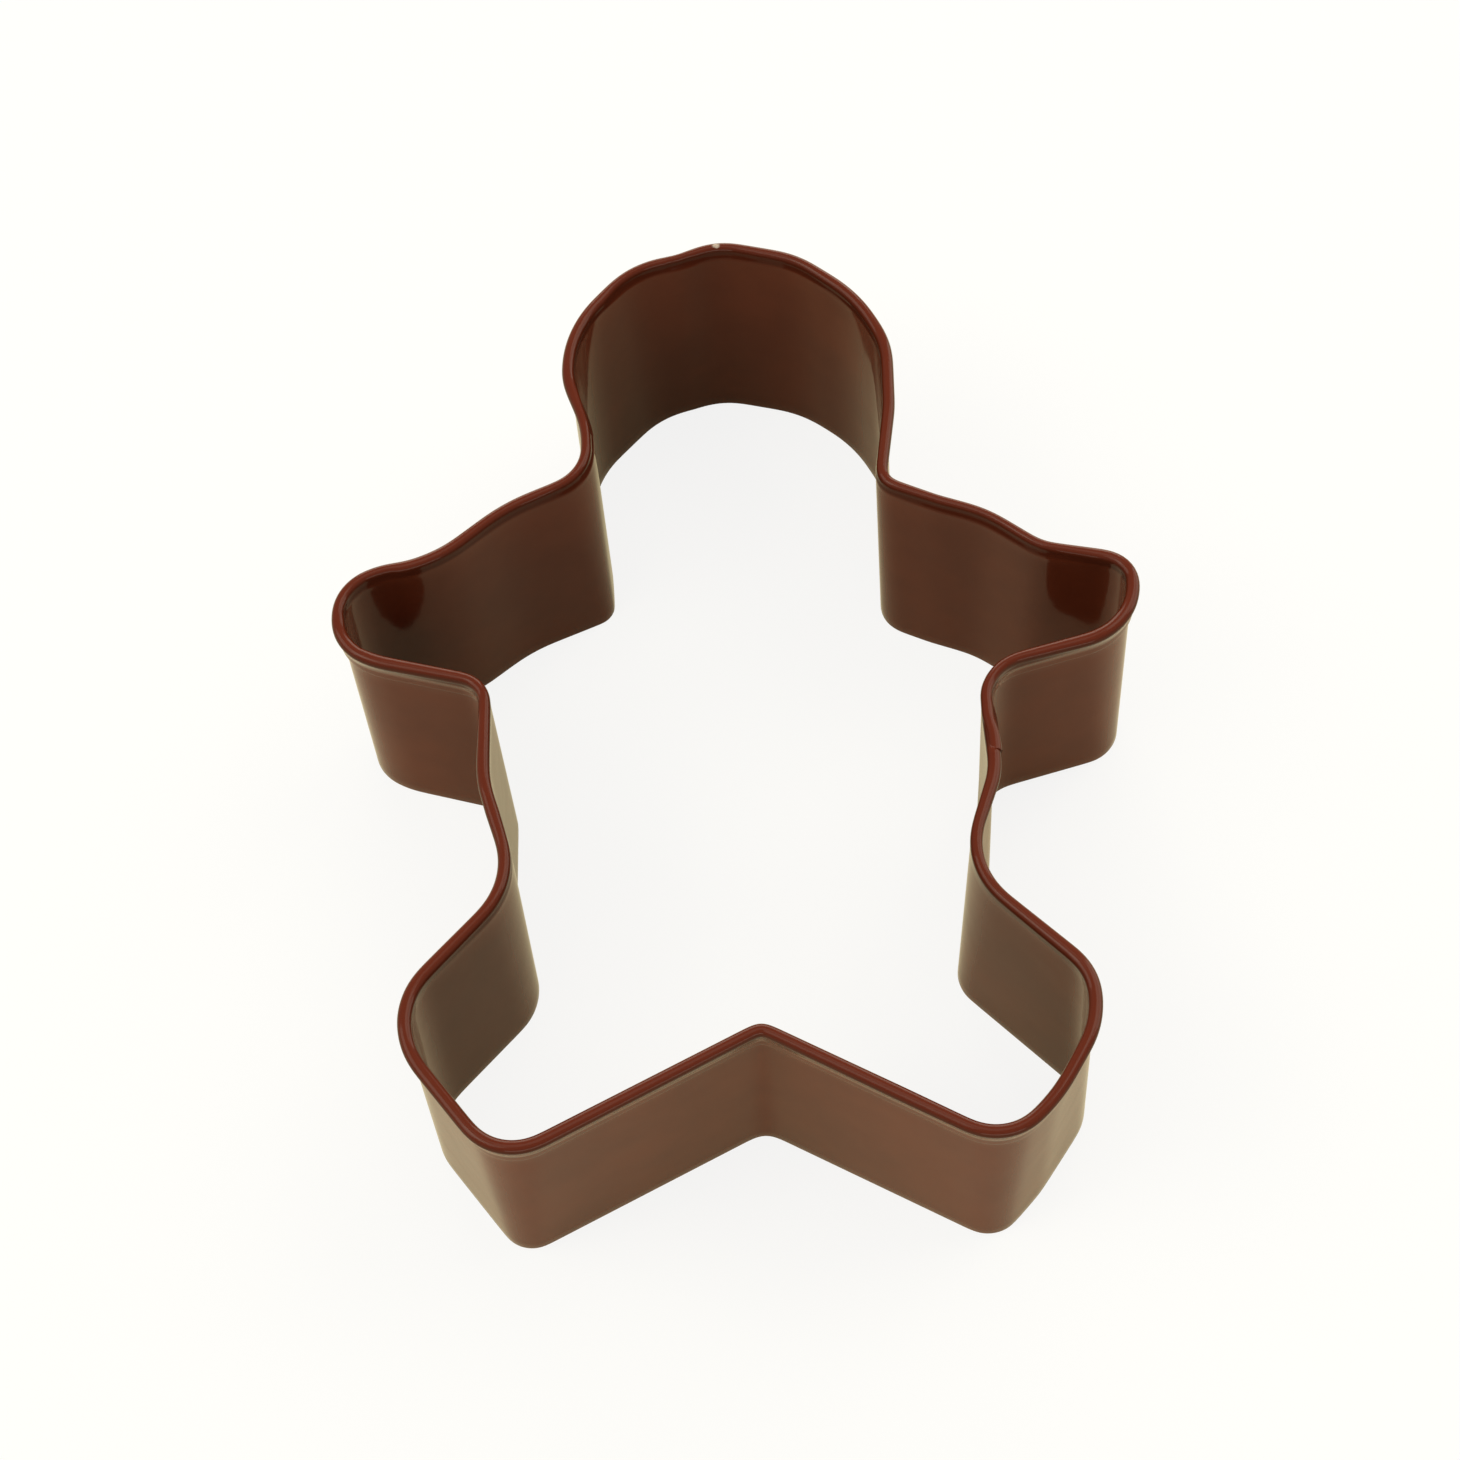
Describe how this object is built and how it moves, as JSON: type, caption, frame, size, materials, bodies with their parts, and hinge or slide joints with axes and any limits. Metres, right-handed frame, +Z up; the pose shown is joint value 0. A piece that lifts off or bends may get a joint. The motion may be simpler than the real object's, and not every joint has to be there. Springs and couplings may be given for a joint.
{
  "type": "cookie cutter",
  "caption": "Gingerbread-man cookie cutter bent from steel strip, with a rolled top bead and a brown resin coat, open right through.",
  "frame": {"origin": "middle of the footprint's bounding box, in the plane of the cutting edge", "axes": "+Z up from the cutting edge to the rolled bead, +Y from the figure's feet to its head, +X to the right when seen from above with the head up"},
  "size_m": [0.0748, 0.0954, 0.0254],
  "materials": {
    "resin_coat": "glossy brown baked-on resin skin",
    "steel_strip": "bright tinned steel, all under the skin",
    "spot_welds": "pressed weld spots, all under the skin"
  },
  "bodies": {
    "root": {"resin_coat": "resin_coat", "steel_strip": "steel_strip", "spot_welds": "spot_welds"}
  },
  "joints": []
}
